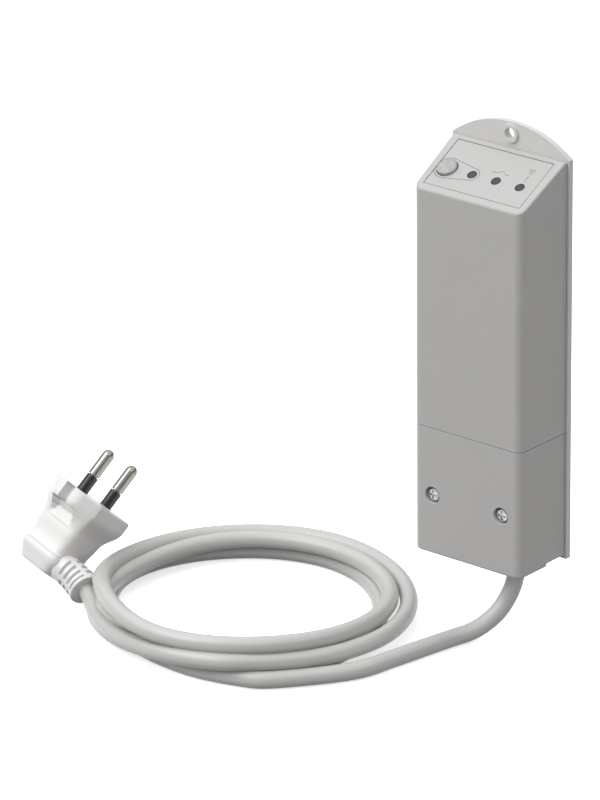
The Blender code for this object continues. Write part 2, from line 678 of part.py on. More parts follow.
def make_display():
    left, right = DISPLAY_SIDES[0] - FRONT_WIDTH / 2, FRONT_WIDTH / 2 - DISPLAY_SIDES[1]
    board_bm = box((left, DISPLAY_ROWS[0], DISPLAY_UNDER), (right, DISPLAY_ROWS[1], DISPLAY_TOP))
    board = finish("display_board", board_bm, BOARD, parent=panel)
    head = (DISPLAY_HEAD_RADIUS, DISPLAY_HEAD_HEIGHT, DISPLAY_SCREW_RADIUS, DISPLAY_SCREW_LENGTH)
    for index, x in enumerate(DISPLAY_SCREW_X, 1):
        place = (x, DISPLAY_SCREW_ROW, 0)
        hole = rod(DISPLAY_SCREW_RADIUS + GAP, DISPLAY_UNDER - THROUGH, DISPLAY_TOP + THROUGH, 12)
        cut(board, helper(f"display_hole_tool_{index}", hole, parent=panel, place=place))
        where = {"place": (x, DISPLAY_SCREW_ROW, DISPLAY_UNDER - GAP), "turn": (math.pi, 0, 0)}
        cross_screw(f"display_screw_{index}", *head, parent=panel, **where)

    base = DISPLAY_TOP + GAP
    top = base + SWITCH_HEIGHT
    floor = top - SWITCH_BORE_DEPTH
    place = (BUTTON_X, PANEL_ROW, 0)
    body = box((-SWITCH_HALF, -SWITCH_HALF, base), (SWITCH_HALF, SWITCH_HALF, top))
    switch = finish("button_switch", body, BLACK, parent=panel, place=place)
    bore = rod(BUTTON_STEM_RADIUS + GAP, floor, top + THROUGH, 16)
    cut(switch, helper("switch_bore_tool", bore, parent=panel, place=place))
    plunger = rod(BUTTON_STEM_RADIUS, floor + BUTTON_TRAVEL + GAP, BUTTON_FOOT - GAP, 16)
    finish("switch_plunger", plunger, SILVER, parent=panel, place=place)

    for index, x in enumerate(INDICATOR_X, 1):
        rim = LED_RADIUS + LED_RIM
        lamp = [(rim, base), (rim, base + FLANGE), (LED_RADIUS, base + FLANGE)]
        lamp += quarter_dome(LED_RADIUS, WINDOW_FOOT - GAP - LED_RADIUS, LED_RADIUS, 3)
        finish(f"led_{index}", turned(lamp, 16), LED, parent=panel, place=(x, PANEL_ROW, 0))

    low_x, high_x = SOCKET_ENDS
    socket_top = BOARD_HIGH - SOCKET_DROP
    socket_corner = (low_x, PARTS_BACK - SOCKET_DEPTH, socket_top - SOCKET_HEIGHT)
    finish("ribbon_socket", soft_box(socket_corner, (high_x, PARTS_BACK, socket_top), 0.4, 1), BLACK)
    ribbon_front = PARTS_BACK - (SOCKET_DEPTH + RIBBON_THICKNESS) / 2
    ribbon = box(
        (low_x + 1.0, ribbon_front, socket_top + GAP),
        (high_x - 1.0, ribbon_front + RIBBON_THICKNESS, display_underside(ribbon_front) - 2 * GAP),
    )
    finish("display_ribbon", ribbon, COPPER)


# ---------------------------------------------------------------- main board and what it carries
def make_main_board():
    slab = box((-BOARD_HALF, BOARD_FRONT, BOARD_LOW), (BOARD_HALF, -BOARD_BACK, BOARD_HIGH))
    board = finish("main_board", slab, BOARD)
    places = [(side * STANDOFF_X, height) for height in STANDOFF_HEIGHTS for side in (-1, 1)]
    head = (SMALL_HEAD_RADIUS, SMALL_HEAD_HEIGHT, SMALL_SCREW_RADIUS, BOARD_SCREW_LENGTH)
    for index, (x, height) in enumerate(places, 1):
        hole = rod(SMALL_SCREW_RADIUS + GAP, BOARD_BACK - THROUGH, THROUGH - BOARD_FRONT, 12)
        cut(board, helper(f"board_hole_tool_{index}", hole, **facing_front(x, height)))
        cross_screw(f"board_screw_{index}", *head, **facing_front(x, height, PARTS_BACK))


def on_board(name, low_x, high_x, low, high, depth, look, radius=0.5):
    bm = soft_box((low_x, PARTS_BACK - depth, low), (high_x, PARTS_BACK, high), radius, 1)
    return finish(name, bm, look)


def make_components():
    """Everything stands on the board's front; x is measured from the board's left edge."""
    left = -BOARD_HALF
    on_board("mains_transformer", left + 2.0, left + 32.0, 92.0, 116.0, 16.0, TRANSFORMER, 1.0)
    on_board("relay", left + 1.5, left + 17.0, 64.5, 84.0, 15.5, BLUE, 0.8)
    on_board("controller_chip", left + 26.0, left + 36.0, 118.6, 126.0, 1.6, BLACK, 0.3)
    board_depth, shield_depth = 1.0, 2.4
    on_board("radio_board", left + 2.0, left + 18.0, 118.0, 126.5, board_depth, BOARD, 0.2)
    seat = PARTS_BACK - board_depth - GAP
    shield = soft_box((left + 4.5, seat - shield_depth, 118.8), (left + 15.5, seat, 125.7), 0.5, 1)
    finish("radio_shield", shield, STEEL)
    fuse = [(4.2, 0.0), (4.2, 7.4), (3.8, 7.8)]
    finish("fuse", turned(fuse, 20), BLACK, **facing_front(left + 25.0, 58.0, PARTS_BACK))
    capacitor = [(4.9, 0.0), (4.9, 1.2), (4.6, 1.5), (4.9, 1.8), (4.9, 14.4), (4.4, 14.9)]
    where = facing_front(left + 35.0, 82.0, PARTS_BACK)
    finish("smoothing_capacitor", turned(capacitor), SILVER, **where)
    disc = [(4.6, -1.9), (5.0, -1.3), (5.0, 1.3), (4.6, 1.9)]
    place = (left + 24.0, PARTS_BACK - disc[1][0] - 0.1, 72.0)
    finish("varistor", turned(disc, 20), BLUE, place=place)
    side = left - ANTENNA_DIAMETER / 2 - 0.2  # the whip runs down just outside the board
    whip = [(left + 6.0, -15.6, 117.6), (left + 3.0, -15.0, 117.2), (left + 1.0, -13.0, 115.0)]
    whip += [(left - 0.2, -11.2, 110.0), (side, -10.0, 100.0), (side, -9.6, 60.0), (side, -9.6, 40.0)]
    tube("radio_antenna", smooth_route(whip, 3.5), ANTENNA_DIAMETER, COPPER)


# ---------------------------------------------------------------- terminals, clamp and inner wires
def make_terminals():
    """Two screw terminal blocks. Each pole has a screw from the front and an opening from below."""
    top = TERMINAL_LOW + TERMINAL_HEIGHT
    height = TERMINAL_LOW + TERMINAL_HEIGHT * TERMINAL_SCREW_SHARE
    floor = TERMINAL_FRONT - TERMINAL_BORE_DEPTH
    radius, length = TERMINAL_SCREW_RADIUS, TERMINAL_SCREW_LENGTH
    blocks = (("mains_terminal", MAINS_TERMINAL_X, 2), ("relay_terminal", RELAY_TERMINAL_X, 3))
    for name, centre, poles in blocks:
        half = TERMINAL_PITCH * poles / 2
        block = on_board(name, centre - half, centre + half, TERMINAL_LOW, top, TERMINAL_DEPTH, GREEN)
        for pole in range(poles):
            x = centre + TERMINAL_PITCH * (pole - (poles - 1) / 2)
            bore = rod(radius + GAP, floor, TERMINAL_FRONT + THROUGH, 16)
            cut(block, helper(f"{name}_bore_{pole}", bore, **facing_front(x, height)))
            mouth = rod(WIRE_DIAMETER / 2 + 2 * GAP, TERMINAL_LOW - THROUGH, TERMINAL_LOW + 2.4, 12)
            cut(block, helper(f"{name}_mouth_{pole}", mouth, place=(x, CORD_Y, 0)))
            where = facing_front(x, height, -floor - GAP)
            screw = finish(f"{name}_screw_{pole + 1}", rod(radius, 0.0, length, 16), STEEL, **where)
            slot = box((-radius - THROUGH, -GAP, length - 0.8), (radius + THROUGH, GAP, length + THROUGH))
            cut(screw, helper(f"{name}_slot_{pole}", slot, **where))


def make_cable_entry():
    bar_front = CLAMP_FRONT - CLAMP_THICKNESS
    corners = (CORD_X - CLAMP_HALF, bar_front, CLAMP_LOW), (CORD_X + CLAMP_HALF, CLAMP_FRONT, CLAMP_HIGH)
    bar = finish("cable_clamp", soft_box(*corners, 0.5, 1), CASE)
    head = (SMALL_HEAD_RADIUS, SMALL_HEAD_HEIGHT, SMALL_SCREW_RADIUS, CLAMP_SCREW_LENGTH)
    for index, side in enumerate((-1, 1), 1):
        x = CORD_X + side * CLAMP_SCREW_X
        hole = rod(SMALL_SCREW_RADIUS + GAP, -CLAMP_FRONT - THROUGH, DEPTH, 12)
        cut(bar, helper(f"clamp_hole_tool_{index}", hole, **facing_front(x, CLAMP_MIDDLE)))
        cross_screw(f"clamp_screw_{index}", *head, **facing_front(x, CLAMP_MIDDLE, -CLAMP_SEAT))

    inner, outer = CORD_RADIUS + GAP, ENTRY_RADIUS - GAP
    lip, seat, top = outer + BUSHING_LIP, WALL + GAP, WALL + GAP + BUSHING_LIP
    foot = GAP / 2
    profile = [(inner, foot), (outer, foot), (outer, seat), (lip, seat), (lip, top), (inner, top)]
    finish("cable_bushing", ring_solid(profile, ROUND), BLACK, place=(CORD_X, CORD_Y, 0))
    blank = turned([(outer, foot), (outer, seat), (lip, seat), (lip, top)])
    finish("blanking_plug", blank, CASE, place=(-CORD_X, CORD_Y, 0))

    end = JACKET_END + 2 * GAP
    for name, side, depth, look in (("wire_live", 1, -13.9, BROWN), ("wire_neutral", -1, -16.4, SKY)):
        pole = MAINS_TERMINAL_X + side * TERMINAL_PITCH / 2
        swing = MAINS_TERMINAL_X - 0.6 + side * 0.8
        route = [(12.5, depth, end), (12.3, depth, end + 0.9), (swing, (depth + CORD_Y) / 2, 24.5)]
        route += [(pole - 0.2, CORD_Y, 31.0), (pole, CORD_Y, 34.0), (pole, CORD_Y, TERMINAL_LOW + 2.0)]
        tube(name, smooth_route(route, 2.2), WIRE_DIAMETER, look)


# ---------------------------------------------------------------- lead and coil
def make_lead():
    tube("mains_cord", smooth_route(LEAD_ROUTE, 10.0), CORD_DIAMETER, WHITE, 3)
    floor, edge = -SURFACE_DROP, COIL_EDGE_RADIUS
    profile = []
    corners = (
        (COIL_OUTER - edge, floor + edge, -90),
        (COIL_OUTER - edge, floor + COIL_HEIGHT - edge, 0),
        (COIL_INNER + edge, floor + COIL_HEIGHT - edge, 90),
        (COIL_INNER + edge, floor + edge, 180),
    )
    for radius, height, start in corners:
        for step in range(4):
            angle = math.radians(start + 30 * step)
            profile.append((radius + edge * math.cos(angle), height + edge * math.sin(angle)))
    coil = finish("cord_coil", ring_solid(profile, 48), WHITE, place=(*COIL_CENTRE, 0))
    # The plug's strain relief dips into the turns, so the plain ring makes room for it.
    room = rod(BOOT_RADII[1] + GAP, -THROUGH, BOOT_LENGTH + GAP)
    cut(coil, helper("coil_room_tool", room, parent=plug, place=BOOT_START, turn=boot_turn()))


# ---------------------------------------------------------------- plug
def plug_section(depth, half_side, half_row, squareness):
    """A closed section of the plug, between an ellipse (2) and a box (8)."""
    points = []
    for step in range(40):
        angle = math.tau * step / 40
        c, s = math.cos(angle), math.sin(angle)
        stretch = (abs(c) ** squareness + abs(s) ** squareness) ** (-1 / squareness)
        points.append((half_side * c * stretch, half_row * s * stretch, depth))
    return points


def contour_section(depth, radius, half_flat):
    """The plug's face: a circle with two flats."""
    points = []
    for step in range(40):
        angle = math.tau * step / 40
        x, y = radius * math.cos(angle), radius * math.sin(angle)
        if abs(x) > half_flat:
            y *= half_flat / abs(x)
            x = math.copysign(half_flat, x)
        points.append((x, y, depth))
    return points


def boot_turn():
    """Turns a piece's +Z to the way in which the lead leaves the plug."""
    return (0, math.radians(90 + BOOT_TILT), 0)


def make_plug():
    sections = [
        plug_section(-34.0, 6.5, 9.0, 3.5),
        plug_section(-32.6, 8.2, 10.8, 4),
        plug_section(-26.4, 9.0, 12.2, 4.5),
        plug_section(-25.8, 8.4, 11.6, 4.5),
        plug_section(-25.2, 9.2, 12.4, 4.5),
        plug_section(-15.0, 10.2, 13.4, 4.5),
        plug_section(-13.6, 9.6, 12.6, 4.0),
        contour_section(-8.0, PLUG_RADIUS - 1.0, PLUG_HALF_FLAT - 0.8),
        contour_section(-6.6, PLUG_RADIUS, PLUG_HALF_FLAT),
        contour_section(-0.5, PLUG_RADIUS, PLUG_HALF_FLAT),
        contour_section(0.0, PLUG_RADIUS - 0.5, PLUG_HALF_FLAT - 0.5),
    ]
    body = finish("plug_body", loft(sections), WHITE, parent=plug)
    for side in (-1, 1):
        low, high = sorted((side * (PLUG_RADIUS - PLUG_GROOVE_DEPTH), side * (PLUG_RADIUS + THROUGH)))
        half = PLUG_GROOVE_HALF
        groove = box((-half, low, -PLUG_GROOVE_LENGTH), (half, high, THROUGH))
        cut(body, helper(f"plug_groove_tool_{side}", groove, parent=plug))
        socket = rod(PIN_CORE + GAP, -PIN_ROOT - 2 * GAP, THROUGH, 16)
        row = side * PIN_SPACING / 2
        mouth = rod(PIN_RADIUS + GAP, -SLEEVE_ROOT - GAP, THROUGH)
        for part, tool in (("socket", socket), ("mouth", mouth)):
            cut(body, helper(f"pin_{part}_tool_{side}", tool, parent=plug, place=(0, row, 0)))

    turn = boot_turn()
    base, end = BOOT_RADII
    seat = rod(base + GAP, -GAP, BOOT_LENGTH)
    cut(body, helper("boot_seat_tool", seat, parent=plug, place=BOOT_START, turn=turn))
    profile = [(base, 0.0), (base, BOOT_LENGTH * 0.2), (end, BOOT_LENGTH * 0.85), (end - 0.6, BOOT_LENGTH)]
    finish("plug_strain_relief", turned(profile), WHITE, parent=plug, place=BOOT_START, turn=turn)

    for index, side in enumerate((-1, 1), 1):
        row = side * PIN_SPACING / 2
        shoulder = SLEEVE_LENGTH + GAP
        pin = [(PIN_CORE, -PIN_ROOT), (PIN_CORE, shoulder), (PIN_RADIUS, shoulder)]
        pin += quarter_dome(PIN_RADIUS, PIN_LENGTH - PIN_RADIUS, PIN_RADIUS)
        finish(f"plug_pin_{index}", turned(pin, 20), BRASS, parent=plug, place=(0, row, 0))
        inner, foot = PIN_CORE + GAP, -SLEEVE_ROOT
        sleeve = [(inner, foot), (PIN_RADIUS, foot), (PIN_RADIUS, SLEEVE_LENGTH), (inner, SLEEVE_LENGTH)]
        finish(f"pin_sleeve_{index}", ring_solid(sleeve, 20), BLACK, parent=plug, place=(0, row, 0))


make_back_plate()
make_front_cover()
make_terminal_cover()
make_cover_screws()
make_panel()
make_display()
make_main_board()
make_components()
make_terminals()
make_cable_entry()
make_lead()
make_plug()
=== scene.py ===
"""Wall-mounted wireless heating controller with its mains lead and moulded angle plug.

Lengths are in millimetres unless said, and MM turns them into metres. The origin is the middle
of the case's back face, and the lead lies on a surface at the height LAID_ON.
"""

import math

import bmesh
import bpy
from mathutils import Matrix, Vector


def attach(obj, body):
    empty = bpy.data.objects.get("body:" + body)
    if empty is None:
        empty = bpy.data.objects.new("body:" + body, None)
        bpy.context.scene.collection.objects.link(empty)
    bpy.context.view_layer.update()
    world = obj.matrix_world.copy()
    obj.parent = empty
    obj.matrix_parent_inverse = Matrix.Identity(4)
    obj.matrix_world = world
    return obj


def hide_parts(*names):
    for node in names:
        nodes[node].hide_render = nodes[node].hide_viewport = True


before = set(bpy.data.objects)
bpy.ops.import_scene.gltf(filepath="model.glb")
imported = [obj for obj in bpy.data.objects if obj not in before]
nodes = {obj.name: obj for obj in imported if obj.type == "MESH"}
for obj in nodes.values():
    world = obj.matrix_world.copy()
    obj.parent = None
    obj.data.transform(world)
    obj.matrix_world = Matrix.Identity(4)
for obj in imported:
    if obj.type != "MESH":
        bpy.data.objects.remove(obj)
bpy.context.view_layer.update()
collection = bpy.context.scene.collection
MM = 0.001

# ---------------------------------------------------------------- camera
# It stands a little above the case and well to its right, and takes in the case, the coiled lead
# and the plug. The lens is so long that uprights stay nearly parallel.
VIEW_TARGET = Vector((0, 0, -9))
VIEW_YAW = math.radians(38.925)
VIEW_PITCH = math.radians(22.815)
VIEW_ROLL = math.radians(-0.594)
VIEW_DISTANCE = 2345.5
VIEW_RIGHT = -79.54
VIEW_UP = -16.59
LENS = 283.45
SENSOR_WIDTH = 36
CLIP_END = 50  # metres

view_back = Vector((
    math.sin(VIEW_YAW) * math.cos(VIEW_PITCH),
    -math.cos(VIEW_YAW) * math.cos(VIEW_PITCH),
    math.sin(VIEW_PITCH),
))
level_right = Vector((math.cos(VIEW_YAW), math.sin(VIEW_YAW), 0))
level_up = view_back.cross(level_right)
view_right = level_right * math.cos(VIEW_ROLL) + level_up * math.sin(VIEW_ROLL)
view_up = level_up * math.cos(VIEW_ROLL) - level_right * math.sin(VIEW_ROLL)
camera_data = bpy.data.cameras.new("camera")
camera_data.lens = LENS
camera_data.sensor_width = SENSOR_WIDTH
camera_data.sensor_fit = "AUTO"
camera_data.clip_end = CLIP_END
camera = bpy.data.objects.new("camera", camera_data)
collection.objects.link(camera)
eye = VIEW_TARGET + view_back * VIEW_DISTANCE + view_right * VIEW_RIGHT + view_up * VIEW_UP
camera.matrix_world = (
    Matrix.Translation(eye * MM)
    @ Matrix((view_right, view_up, view_back)).transposed().to_4x4()
)
bpy.context.scene.camera = camera


# ---------------------------------------------------------------- mains lead
# Round two-core lead in a grey-white PVC jacket, extruded in one length. It leaves the case's
# lower end, swings down to the surface, lies in a little over three loose turns and ends in the
# plug's boot.
CORD_DIAMETER = 6.8
LAID_ON = -113.0
CORD_SPACING = 3.4  # from one point of the jacket's middle line to the next
TURN_STEPS = 3  # points worked out from one station of the coil to the next
LINE_STEPS = 16
JACKET_ROUNDNESS = 5
LEAD_ROUTE = (
    (13.5, -15, -65.4),
    (13.5, -15, -75),
    (13.5, -15, -84),
    (13, -16.2, -91.5),
    (12, -18.2, -96.8),
    (10.3, -21.8, -102.3),
    (7.8, -26.8, -106.4),
    (5, -32.6, -108.9),
    (2, -39.2, -109.6),
    (-0.7, -50.6, -109.6),
    (-4.6, -68, -109.6),
    (-9.9, -86, -109.6),
)
COIL_CENTRE = (-74.2, -67.6)
COIL_START = -43  # degrees, and each station is one STATION further clockwise
STATION = 45
# Each station's distance from the coil's centre, and its height above the surface.
FIRST_TURN = (
    (61.8, 3.4), (51.4, 3.4), (50.8, 3.4), (57.6, 3.4),
    (56.2, 3.4), (55.0, 3.4), (50.5, 3.4), (51.0, 3.4),
)
SECOND_TURN = (
    (55.0, 3.4), (46.5, 7.6), (53.9, 9.6), (52.4, 8.0),
    (52.5, 9.3), (52.8, 9.4), (53.5, 9.4), (54.5, 12.3),
)
THIRD_TURN = (
    (56.5, 15.1), (55.8, 14.8), (54.8, 16.2), (57.9, 10.9),
    (59.2, 9.2), (60.0, 9.0), (60.7, 7.4), (61.0, 8.2),
)
# The last stretch slips down outside the others to the plug: clockwise degrees, distance, height.
LAST_STRETCH = (
    (1080, 58.6, 9.3),
    (1096, 59.8, 9.8),
    (1112, 58.2, 9.2),
    (1125, 56.6, 8.0),
    (1137, 55.6, 6.8),
    (1149, 55.8, 5.8),
    (1161, 56.4, 5.0),
    (1172, 57.4, 4.7),
)
TAIL_ROUTE = (
    (-119.6, -103.8, -107.4),
    (-124.0, -100.6, -106.2),
    (-129.1, -98.2, -104.5),
    (-135.2, -96.8, -102.0),
    (-141.8, -96.6, -99.1),
)


def between(points, steps):
    """Points on a smooth curve through the given ones, that many steps from each to the next."""
    points = [Vector(p) for p in points]
    found = []
    for i in range(len(points) - 1):
        a, b = points[i], points[i + 1]
        before = points[max(i - 1, 0)]
        after = points[min(i + 2, len(points) - 1)]
        for step in range(steps):
            t = step / steps
            bend = (before * 2 - a * 5 + b * 4 - after) * t**2
            turn = (a * 3 - before - b * 3 + after) * t**3
            found.append(0.5 * (a * 2 + (b - before) * t + bend + turn))
    return found + [points[-1]]


def evenly(points, spacing):
    """The same line with its points that far apart."""
    total = sum((q - p).length for p, q in zip(points, points[1:]))
    count = round(total / spacing)
    found, run, k = [points[0]], 0.0, 0
    for i in range(1, count):
        target = total * i / count
        while run + (points[k + 1] - points[k]).length < target:
            run += (points[k + 1] - points[k]).length
            k += 1
        share = (target - run) / (points[k + 1] - points[k]).length
        found.append(points[k].lerp(points[k + 1], share))
    return found + [points[-1]]


stations = [
    (COIL_START - STATION * i, radius, height)
    for i, (radius, height) in enumerate(FIRST_TURN + SECOND_TURN + THIRD_TURN)
]
stations += [(COIL_START - turned, radius, height) for turned, radius, height in LAST_STRETCH]
coil_route = [
    (
        COIL_CENTRE[0] + radius * math.cos(math.radians(angle)),
        COIL_CENTRE[1] + radius * math.sin(math.radians(angle)),
        LAID_ON + height,
    )
    for angle, radius, height in between(stations, TURN_STEPS)
]
cord_line = evenly(between([*LEAD_ROUTE, *coil_route, *TAIL_ROUTE], LINE_STEPS), CORD_SPACING)
cord_curve = bpy.data.curves.new("mains_lead", "CURVE")
cord_curve.dimensions = "3D"
cord_curve.bevel_depth = CORD_DIAMETER / 2 * MM
cord_curve.bevel_resolution = JACKET_ROUNDNESS
cord_curve.use_fill_caps = True
cord_spline = cord_curve.splines.new("POLY")
cord_spline.points.add(len(cord_line) - 1)
for spline_point, place in zip(cord_spline.points, cord_line):
    spline_point.co = (*(place * MM), 1)
cord_spline.use_smooth = True
mains_lead = bpy.data.objects.new("mains_lead", cord_curve)
collection.objects.link(mains_lead)


def rgb(hex_colour):
    """A hex sRGB colour as linear values."""
    values = [int(hex_colour[i : i + 2], 16) / 255 for i in (1, 3, 5)]
    linear = [v / 12.92 if v <= 0.04045 else ((v + 0.055) / 1.055) ** 2.4 for v in values]
    return (*linear, 1.0)


def add_node(tree, kind, inputs=(), **settings):
    """Adds a shader node with its settings. A socket takes a value, or a link from an output."""
    node = tree.nodes.new(kind)
    for name, value in settings.items():
        setattr(node, name, value)
    for name, value in dict(inputs).items():
        if isinstance(value, bpy.types.NodeSocket):
            tree.links.new(value, node.inputs[name])
        else:
            node.inputs[name].default_value = value
    return node


def new_material(name, roughness, ior=1.5, metallic=0.0):
    """A material with its shader's plain values, and the tree to add its pattern to."""
    material = bpy.data.materials.new(name)
    material.use_nodes = True
    surface = material.node_tree.nodes["Principled BSDF"]
    surface.inputs["Roughness"].default_value = roughness
    surface.inputs["Metallic"].default_value = metallic
    if not metallic:
        surface.inputs["IOR"].default_value = ior
    return material, material.node_tree, surface


GLOSS_SPREAD = 0.08  # how much a plastic's roughness wanders over its grain


def moulded_plastic(name, pale, deep, roughness, grain, relief, ior=1.5, flow=14.0):
    """A moulded or extruded plastic. Its grain and its flow marks are given in millimetres."""
    material, tree, surface = new_material(name, roughness, ior)
    place = add_node(tree, "ShaderNodeTexCoord").outputs["Object"]
    marks = add_node(
        tree,
        "ShaderNodeTexNoise",
        {"Vector": place, "Scale": 1 / (flow * MM), "Detail": 3, "Roughness": 0.55},
    )
    tint = add_node(
        tree,
        "ShaderNodeMix",
        {"Factor": marks.outputs["Fac"], 6: rgb(deep), 7: rgb(pale)},
        data_type="RGBA",
    )
    tree.links.new(tint.outputs[2], surface.inputs["Base Color"])
    erosion = add_node(
        tree,
        "ShaderNodeTexNoise",
        {"Vector": place, "Scale": 1 / (grain * MM), "Detail": 2, "Roughness": 0.6},
    )
    gloss = add_node(
        tree,
        "ShaderNodeMapRange",
        {
            "Value": erosion.outputs["Fac"],
            "To Min": roughness - GLOSS_SPREAD,
            "To Max": roughness + GLOSS_SPREAD,
        },
    )
    tree.links.new(gloss.outputs["Result"], surface.inputs["Roughness"])
    bump = add_node(
        tree,
        "ShaderNodeBump",
        {"Height": erosion.outputs["Fac"], "Strength": 0.6, "Distance": relief * MM},
    )
    tree.links.new(bump.outputs["Normal"], surface.inputs["Normal"])
    return material


# Extruded soft PVC: satin, with faint clouds from handling. The real grain is under 0.2 mm, so it
# is drawn at 1.2 mm, as coarse as it needs to show. The finer grains below are drawn at about
# 1 mm for the same reason.
jacket_pvc = moulded_plastic("extruded_grey_pvc", "#bdbcba", "#b6b5b3", 0.36, 1.2, 0.02, 1.53, 30.0)
cord_curve.materials.append(jacket_pvc)
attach(mains_lead, "case")
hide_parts("mains_cord", "cord_coil")


# ---------------------------------------------------------------- floor and light
# A plain pale studio sweep, an even white sky from above and one large soft box at the upper
# left of the front. The floor sends no light back up, so undersides stay dark.
FLOOR_HALF = 6.0  # metres
FLOOR_DROP = 0.05
SWEEP_GLOW = 0.6  # the sweep is lit from beneath as well, which takes up most of the shadows
SKY_TINT = (1.0, 0.998, 0.995, 1.0)
SKY_LEVEL = 1.06
UNDER_LEVEL = 0.03
HORIZON_BLEND = 0.06
RIGHT_SHARE = 0.72  # the sky's level at the far right, as a share of its level at the left
FLAG_LEVEL = 0.12
BOX_LEVEL = 1.5
BOX_RISE = (0.1, 0.75)
KEY_FROM = Vector((-0.35, -0.55, 0.76)).normalized()
KEY_DISTANCE = 2.6  # metres, as is its side
KEY_SIDE = 1.9
KEY_POWER = 38.0

floor_mesh = bpy.data.meshes.new("floor")
floor_bm = bmesh.new()
bmesh.ops.create_grid(floor_bm, x_segments=8, y_segments=8, size=FLOOR_HALF)
bmesh.ops.translate(floor_bm, verts=floor_bm.verts, vec=(0, 0, (LAID_ON - FLOOR_DROP) * MM))
floor_bm.to_mesh(floor_mesh)
floor_bm.free()
floor = bpy.data.objects.new("floor", floor_mesh)
collection.objects.link(floor)
floor.visible_diffuse = False
# Matt white paint, so even that the eye passes over it.
painted_sweep = moulded_plastic("painted_sweep", "#fbfbfa", "#f8f8f7", 0.9, 3.0, 0.01, 1.45, 300.0)
painted_surface = painted_sweep.node_tree.nodes["Principled BSDF"].inputs
painted_surface["Emission Color"].default_value = rgb("#ffffff")
painted_surface["Emission Strength"].default_value = SWEEP_GLOW
floor_mesh.materials.append(painted_sweep)

world = bpy.data.worlds.new("studio")
world.use_nodes = True
bpy.context.scene.world = world
sky = world.node_tree
direction = add_node(sky, "ShaderNodeTexCoord").outputs["Generated"]
heading = add_node(sky, "ShaderNodeSeparateXYZ", {"Vector": direction}).outputs
even = add_node(
    sky,
    "ShaderNodeMapRange",
    {
        "Value": heading["Z"],
        "From Min": -HORIZON_BLEND,
        "From Max": HORIZON_BLEND,
        "To Min": UNDER_LEVEL,
        "To Max": SKY_LEVEL,
    },
)
flagged = add_node(
    sky,
    "ShaderNodeMapRange",
    {"Value": heading["X"], "To Min": 1.0, "To Max": RIGHT_SHARE},
)
soft = add_node(
    sky, "ShaderNodeMath", {0: even.outputs["Result"], 1: flagged.outputs["Result"]}, operation="MULTIPLY"
)
# What shines is lit by the soft boxes overhead, with dark flags standing round the table.
mirrored = add_node(
    sky,
    "ShaderNodeMapRange",
    {
        "Value": heading["Z"],
        "From Min": BOX_RISE[0],
        "From Max": BOX_RISE[1],
        "To Min": FLAG_LEVEL,
        "To Max": BOX_LEVEL,
    },
)
shine = add_node(sky, "ShaderNodeLightPath").outputs["Is Glossy Ray"]
strength = add_node(
    sky,
    "ShaderNodeMix",
    {"Factor": shine, 2: soft.outputs["Value"], 3: mirrored.outputs["Result"]},
    data_type="FLOAT",
)
sky.links.new(strength.outputs[0], sky.nodes["Background"].inputs["Strength"])
sky.nodes["Background"].inputs["Color"].default_value = SKY_TINT

key_data = bpy.data.lights.new("key", "AREA")
key_data.shape = "SQUARE"
key_data.size = KEY_SIDE
key_data.energy = KEY_POWER
key = bpy.data.objects.new("key", key_data)
collection.objects.link(key)
key.location = KEY_FROM * KEY_DISTANCE
key.rotation_euler = KEY_FROM.to_track_quat("Z", "Y").to_euler()
bpy.context.scene.view_settings.view_transform = "Standard"


# ---------------------------------------------------------------- case
# Front cover, terminal cover, blanking plug and back plate: injection-moulded ABS in light grey.
# The mould is spark eroded, so the walls look matt, with small radii where the steel was broken.
EDGE_ANGLE = math.radians(32)
FLAT_ANGLE = math.radians(1.0)
WELD_GAP = 0.004
EDGE_SEGMENTS = 2


def repaint(name, material):
    """Puts a material on a carried-over piece, in place of its own."""
    nodes[name].data.materials.clear()
    nodes[name].data.materials.append(material)


def shade_smooth(mesh):
    """Shades every face of a mesh smooth."""
    for polygon in mesh.polygons:
        polygon.use_smooth = True


def soften(piece, radius):
    """Gives a piece the small radius that its mould or press left on its edges."""
    edge = piece.modifiers.new("edge", "BEVEL")
    edge.width = radius * MM
    edge.segments = EDGE_SEGMENTS
    edge.limit_method = "ANGLE"
    edge.angle_limit = EDGE_ANGLE
    piece.modifiers.new("shading", "WEIGHTED_NORMAL").keep_sharp = False
    shade_smooth(piece.data)


def dress(name, material, radius):
    """Puts a material and softened edges on a carried-over piece."""
    weld = nodes[name].modifiers.new("weld", "WELD")
    weld.merge_threshold = WELD_GAP * MM
    flat = nodes[name].modifiers.new("flat", "DECIMATE")
    flat.decimate_type = "DISSOLVE"
    flat.angle_limit = FLAT_ANGLE
    soften(nodes[name], radius)
    repaint(name, material)


# Light grey ABS from a spark-eroded mould: matt, with a fine even grain that breaks up every
# reflection. The plate is a shade paler than the covers.
case_abs = moulded_plastic("moulded_grey_abs", "#b3b2b1", "#afaead", 0.58, 0.9, 0.02)
plate_abs = moulded_plastic("moulded_grey_abs_plate", "#cdccca", "#c9c8c6", 0.56, 0.9, 0.02)
CASE_HALF = 25.0
CASE_FRONT = -29.0
CASE_CORNER = 3.5
SLOPE_FOOT = Vector((0, CASE_FRONT, 61.5))
SLOPE_ANGLE = math.atan2(13.5, 26.6)
SLOPE_UP = Vector((0, math.cos(SLOPE_ANGLE), math.sin(SLOPE_ANGLE)))
SLOPE_OUT = Vector((0, -math.sin(SLOPE_ANGLE), math.cos(SLOPE_ANGLE)))
CASE_FOOT = -84.0
PANEL_RIM = 1.7
FOOT_RIM = 1.2
RIM_SEGMENTS = 5
COVER_EDGE = 0.35
PLATE_EDGE = 0.35
BLANK_EDGE = 0.25
SKIN_SLACK = 0.1
CORNER_SLACK = 0.15
RIM_SLACK = 0.05


